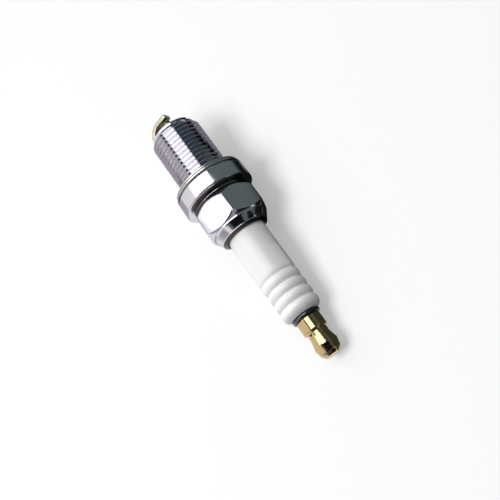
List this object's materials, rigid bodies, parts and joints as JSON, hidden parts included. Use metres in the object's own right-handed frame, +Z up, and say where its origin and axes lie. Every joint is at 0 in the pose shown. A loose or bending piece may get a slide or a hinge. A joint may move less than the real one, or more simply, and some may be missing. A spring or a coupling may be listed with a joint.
{
  "type": "spark plug",
  "caption": "Spark plug with a threaded steel shell, hexagon, folded gasket, ribbed white insulator, bent ground strap and a screw-on snap terminal.",
  "frame": {"origin": "on the plug's axis, in the plane of the shell's seat face, where reach and height are measured from", "axes": "+X along the plug's axis towards the terminal, -X towards the spark gap, +Z up out of one flat of the hexagon"},
  "size_m": [0.0776, 0.0196, 0.0196],
  "materials": {
    "shell_plating": "bright nickel plating on turned steel",
    "gasket_steel": "plated sheet steel, folded",
    "glaze": "white alumina with a clear gloss glaze",
    "electrode_nickel": "drawn nickel alloy",
    "core_copper": "drawn copper",
    "packing_steel": "soft steel",
    "talc": "pressed powder",
    "seal_glass": "fused glass and copper powder",
    "resistor_glass": "fused glass and carbon",
    "stud_steel": "dark plated steel",
    "terminal_brass": "bright turned brass"
  },
  "bodies": {
    "plug": {"shell": "shell_plating", "ground_electrode": "electrode_nickel", "insulator": "glaze", "inner_packing_ring": "packing_steel", "lower_wire_ring": "packing_steel", "talc_filling": "talc", "upper_wire_ring": "packing_steel", "centre_electrode": "electrode_nickel", "copper_core": "core_copper", "lower_glass_seal": "seal_glass", "resistor": "resistor_glass", "upper_glass_seal": "seal_glass", "terminal_stud": "stud_steel"},
    "gasket": {"gasket": "gasket_steel"},
    "terminal_nut": {"terminal_nut": "terminal_brass"}
  },
  "joints": [
    {"name": "gasket_spin", "type": "hinge", "parent": "plug", "child": "gasket", "pos_m": [-0.0009, 0, 0], "axis": [1, 0, 0], "continuous": true},
    {"name": "nut_unscrew", "type": "slide", "parent": "plug", "child": "terminal_nut", "axis": [1, 0, 0], "range_m": [0, 0.009]}
  ]
}
